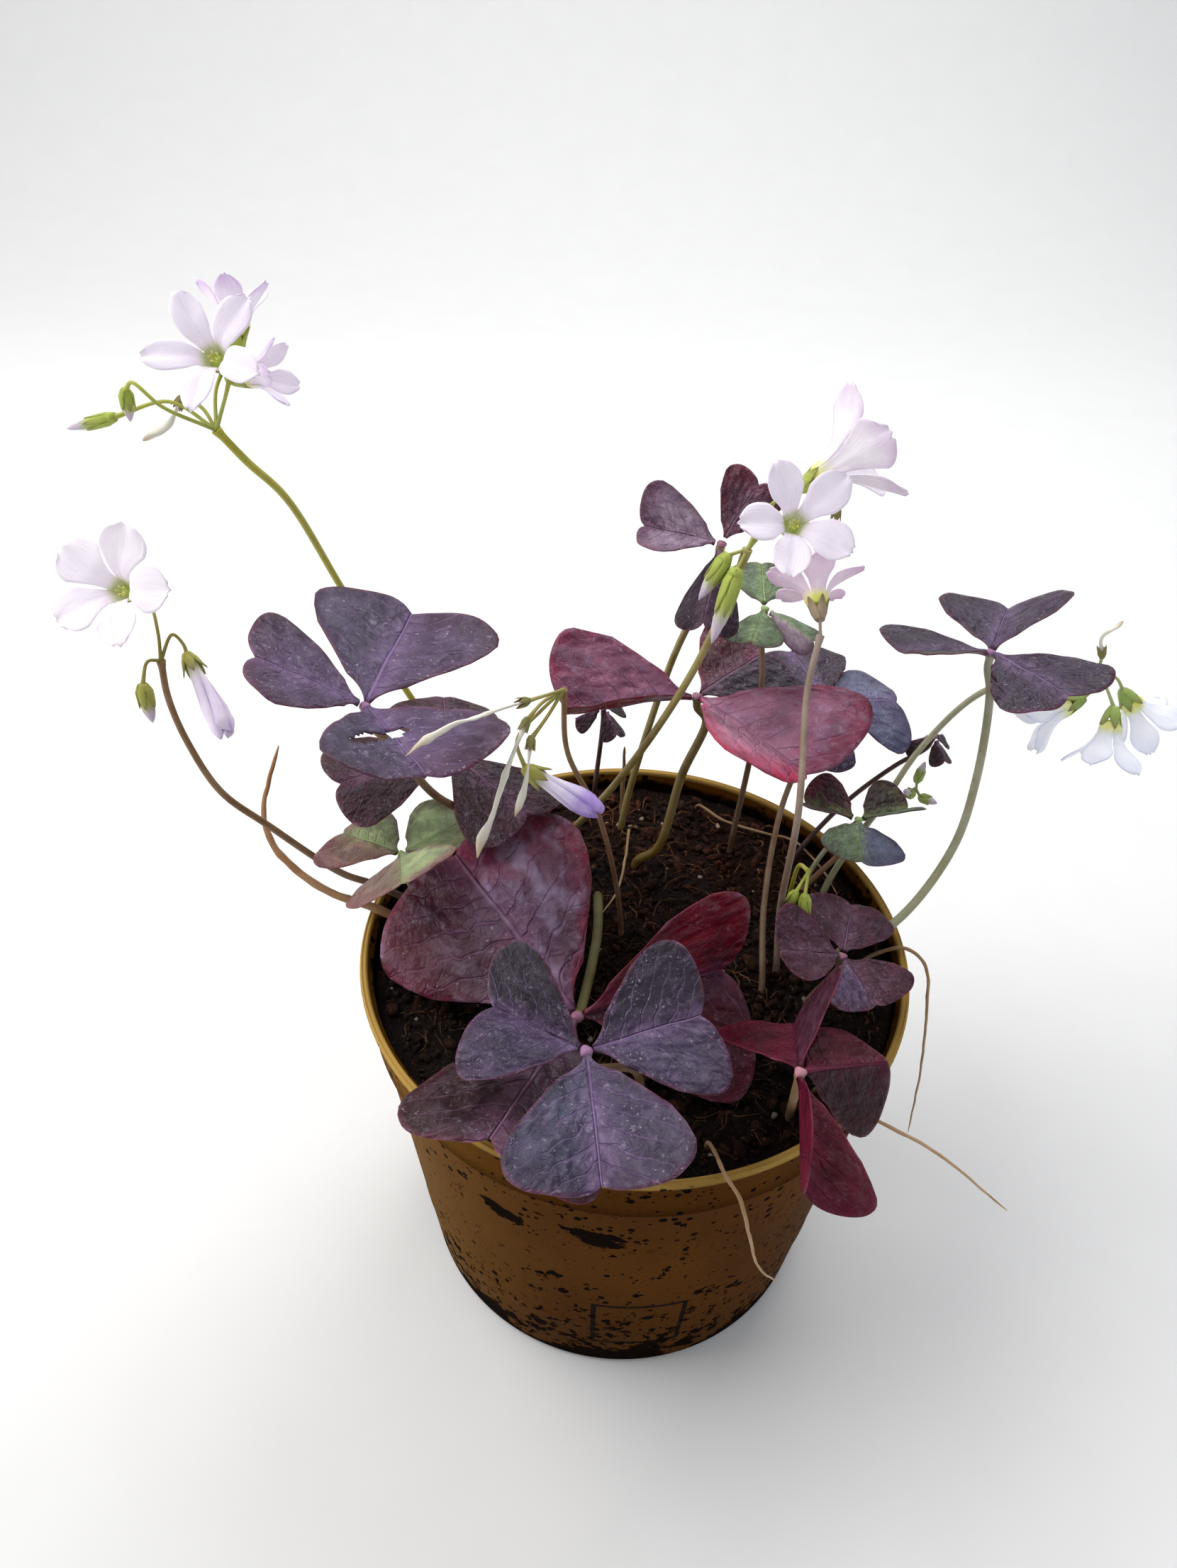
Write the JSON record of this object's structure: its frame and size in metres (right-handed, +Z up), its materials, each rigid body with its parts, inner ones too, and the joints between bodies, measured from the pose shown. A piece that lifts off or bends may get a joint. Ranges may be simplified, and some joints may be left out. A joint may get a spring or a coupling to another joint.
{
  "type": "potted purple shamrock",
  "caption": "Purple shamrock plant in a tapered round nursery pot: folded three-part leaves and small pale flowers on thin stems standing in dark peat.",
  "frame": {"origin": "centre of the pot's flat underside, on the ground", "axes": "+Z up along the pot's axis; the plant's front, with the large front leaves over the rim, faces -Y; +X is to the right seen from the front"},
  "size_m": [0.2527, 0.163, 0.2438],
  "materials": {
    "pot_plastic": "satin",
    "peat": "matte",
    "leaf_slate": "satin",
    "leaf_maroon": "satin",
    "leaf_plum": "satin",
    "leaf_crimson": "satin",
    "leaf_green": "satin",
    "stem_olive": "satin",
    "stem_tan": "satin",
    "stem_brown": "matte",
    "petal": "satin",
    "rootlet": "matte"
  },
  "bodies": {
    "root": {"buds_low_stalk": "stem_olive", "buds_right_stalk": "stem_olive", "flower_pink_petals_rear": "petal", "flower_pink_stalk": "stem_tan", "leaf_blue_blades": "leaf_slate", "leaf_blue_petiole": "stem_tan", "leaf_crimson_blades": "leaf_crimson", "leaf_crimson_petiole": "stem_brown", "leaf_front_blades": "leaf_slate", "leaf_front_petiole": "stem_tan", "leaf_green_blades": "leaf_green", "leaf_green_petiole": "stem_tan", "leaf_large_blades": "leaf_maroon", "leaf_large_petiole": "stem_olive", "leaf_left_blades": "leaf_slate", "leaf_left_petiole": "stem_tan", "leaf_low_blades": "leaf_plum", "leaf_low_petiole": "stem_tan", "leaf_middle_blades": "leaf_plum", "leaf_middle_petiole": "stem_olive", "leaf_olive_blades": "leaf_green", "leaf_olive_petiole": "stem_tan", "leaf_right_blades": "leaf_slate", "leaf_right_petiole": "stem_tan", "leaf_shaded_blades": "leaf_maroon", "leaf_shaded_petiole": "stem_brown", "leaf_small_blades": "leaf_green", "leaf_small_petiole": "stem_brown", "leaf_top_blades": "leaf_plum", "leaf_top_petiole": "stem_olive", "leaf_young_back_blades": "leaf_maroon", "leaf_young_back_petiole": "stem_brown", "leaf_young_right_blades": "leaf_maroon", "leaf_young_right_petiole": "stem_brown", "pot": "pot_plastic", "root_front": "rootlet", "root_pale": "rootlet", "root_right": "rootlet", "root_white": "rootlet", "runner": "rootlet", "soil": "peat", "stem_bare_back": "stem_brown", "stem_dead_left": "stem_brown", "umbel_centre_petals_facing": "petal", "umbel_centre_petals_upper": "petal", "umbel_centre_stalk": "stem_olive", "umbel_left_low_petals_facing": "petal", "umbel_left_low_petals_nodding": "petal", "umbel_left_low_stalk": "stem_brown", "umbel_left_tall_petals_facing": "petal", "umbel_left_tall_petals_rear": "petal", "umbel_left_tall_petals_side": "petal", "umbel_left_tall_stalk": "stem_olive", "umbel_right_petals_left": "petal", "umbel_right_petals_middle": "petal", "umbel_right_petals_right": "petal", "umbel_right_stalk": "stem_tan", "umbel_spent_petals_nodding": "petal", "umbel_spent_stalk": "stem_brown"}
  },
  "joints": []
}
